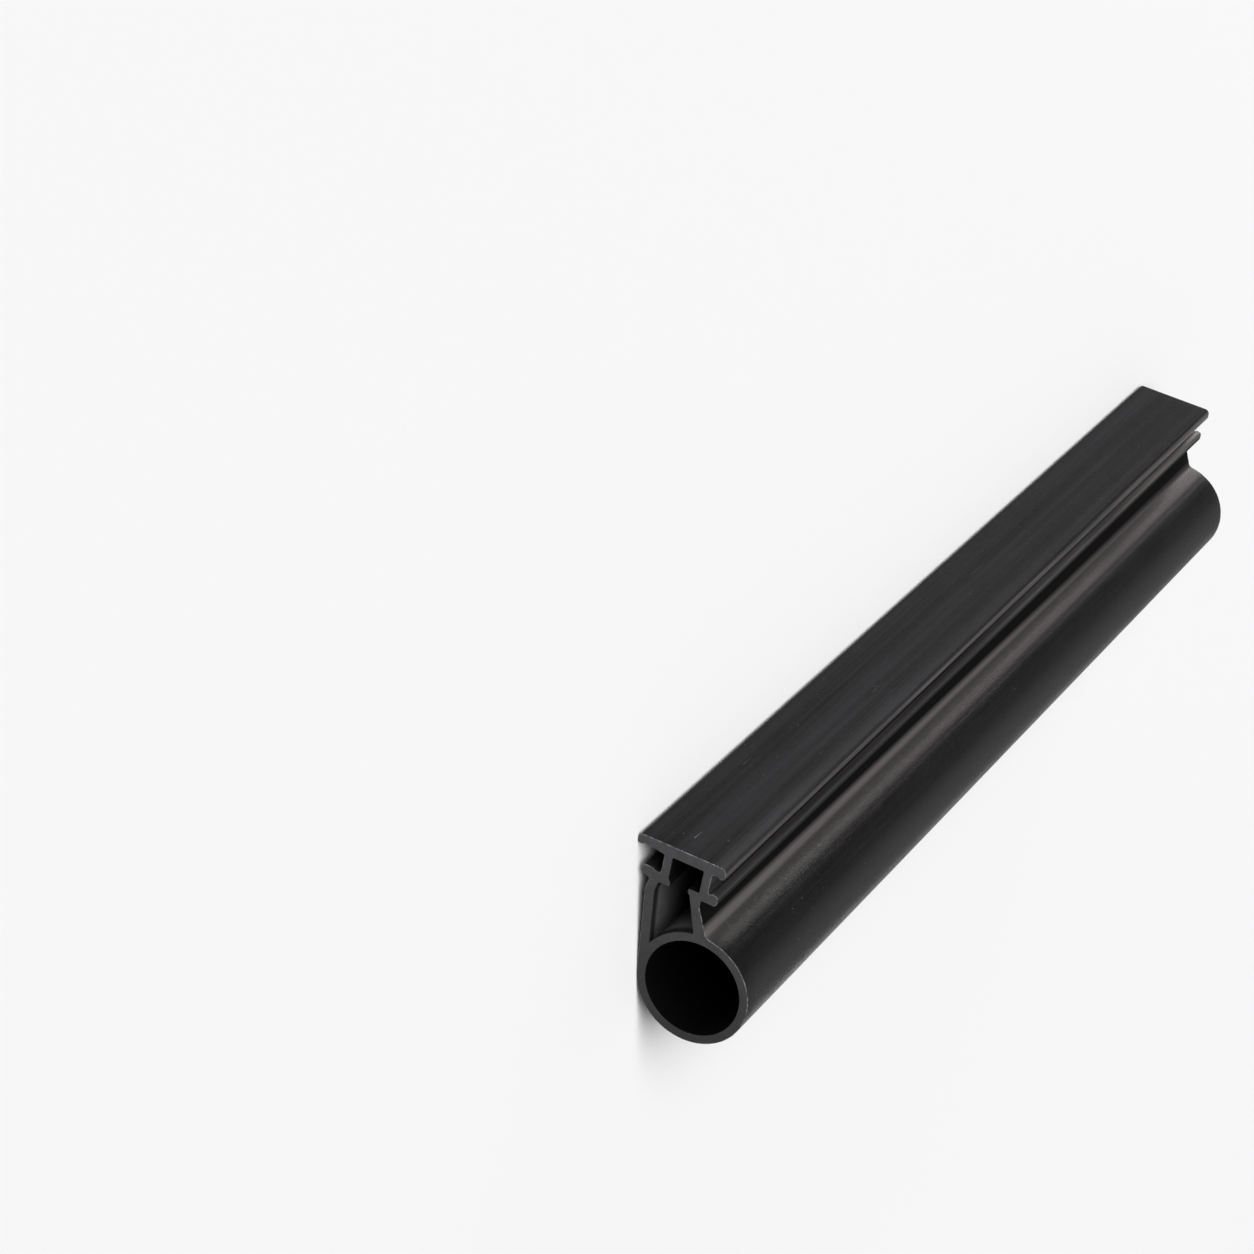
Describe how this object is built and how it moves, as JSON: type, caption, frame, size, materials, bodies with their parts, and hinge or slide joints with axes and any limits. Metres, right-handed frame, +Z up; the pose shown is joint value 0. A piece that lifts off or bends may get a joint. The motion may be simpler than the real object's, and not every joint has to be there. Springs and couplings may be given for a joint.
{
  "type": "rubber door weatherstrip",
  "caption": "Straight cut length of extruded black rubber door seal: a hollow round bulb on two legs under a slotted head with a broad flat flange.",
  "frame": {"origin": "centre of the bottom of the bounding box, on the floor that the strip lies on", "axes": "+Y along the strip's length, +Z up; the strip lies on its left side, with the flange's outer face towards -X and the bulb towards +X"},
  "size_m": [0.05, 0.32, 0.028],
  "materials": {
    "rubber": "satin black extruded rubber, matte on the cut ends"
  },
  "bodies": {
    "root": {"weatherstrip": "rubber"}
  },
  "joints": []
}
